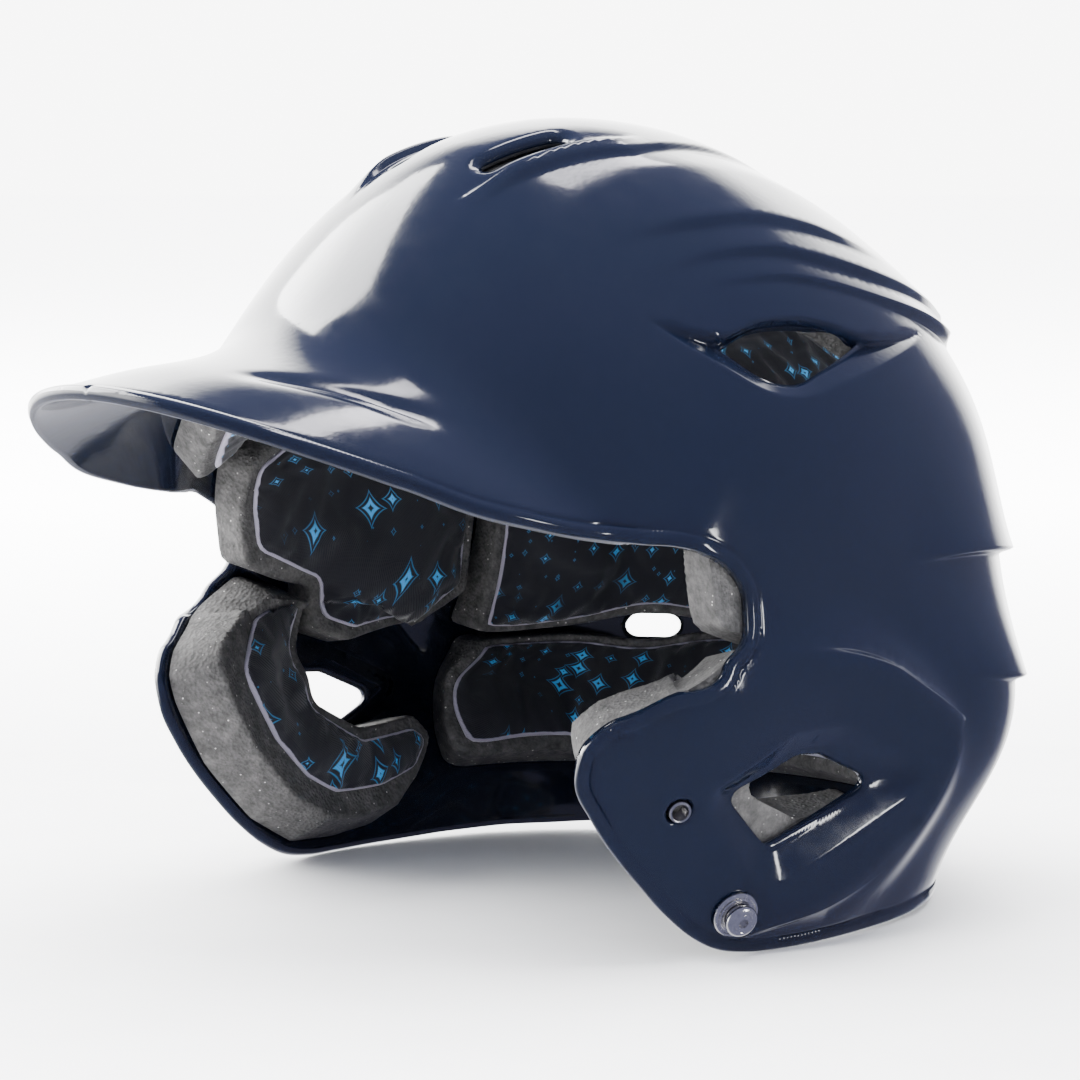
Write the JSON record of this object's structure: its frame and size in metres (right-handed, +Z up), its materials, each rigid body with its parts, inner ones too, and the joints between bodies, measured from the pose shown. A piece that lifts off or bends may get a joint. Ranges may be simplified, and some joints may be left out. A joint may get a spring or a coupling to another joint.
{
  "type": "batting helmet",
  "caption": "Hard-shell batting helmet with brim, double ear flaps, vents, foam pads faced in fabric, guard inserts and jaw strap snap studs that unscrew.",
  "frame": {"origin": "on the floor plane, under the middle of the length and width", "axes": "+Z up, the wearer faces -Y, the wearer's left is +X"},
  "size_m": [0.2138, 0.2788, 0.206],
  "materials": {
    "shell": "glossy navy moulded plastic",
    "foam": "speckled charcoal closed-cell foam",
    "fabric": "black knit with small blue marks",
    "insert": "plated steel insert",
    "stud": "bright nickel plate"
  },
  "bodies": {
    "helmet": {"shell": "shell", "front_pad_foam": "foam", "front_pad_face": "fabric", "crown_pad_foam": "foam", "crown_pad_face": "fabric", "side_left_pad_foam": "foam", "side_left_pad_face": "fabric", "side_right_pad_foam": "foam", "side_right_pad_face": "fabric", "temple_left_pad_foam": "foam", "temple_left_pad_face": "fabric", "temple_right_pad_foam": "foam", "temple_right_pad_face": "fabric", "rear_pad_foam": "foam", "rear_pad_face": "fabric", "nape_pad_foam": "foam", "nape_pad_face": "fabric", "ear_pad_foam_left": "foam", "ear_pad_face_left": "fabric", "guard_insert_left": "insert", "jaw_insert_left": "insert", "ear_pad_foam_right": "foam", "ear_pad_face_right": "fabric", "guard_insert_right": "insert", "jaw_insert_right": "insert"},
    "left_washer": {"jaw_washer_left": "stud"},
    "left_stud": {"jaw_stud_left": "stud", "jaw_screw_left": "stud"},
    "right_washer": {"jaw_washer_right": "stud"},
    "right_stud": {"jaw_stud_right": "stud", "jaw_screw_right": "stud"}
  },
  "joints": [
    {"name": "left_stud_back_out", "type": "slide", "parent": "helmet", "child": "left_washer", "axis": [0.9014, -0.2448, -0.3571], "range_m": [0, 0.0049]},
    {"name": "left_stud_turn", "type": "hinge", "parent": "left_washer", "child": "left_stud", "pos_m": [0.08976, -0.01074, 0.01295], "axis": [0.9014, -0.2448, -0.3571], "range_deg": [0, 2520]},
    {"name": "right_stud_back_out", "type": "slide", "parent": "helmet", "child": "right_washer", "axis": [-0.9014, -0.2448, -0.3571], "range_m": [0, 0.0049]},
    {"name": "right_stud_turn", "type": "hinge", "parent": "right_washer", "child": "right_stud", "pos_m": [-0.08976, -0.01074, 0.01295], "axis": [-0.9014, -0.2448, -0.3571], "range_deg": [0, 2520]}
  ],
  "couplings": [
    {"joint": "left_stud_turn", "follows": "left_stud_back_out", "rad_per_m": 8976},
    {"joint": "right_stud_turn", "follows": "right_stud_back_out", "rad_per_m": 8976}
  ]
}
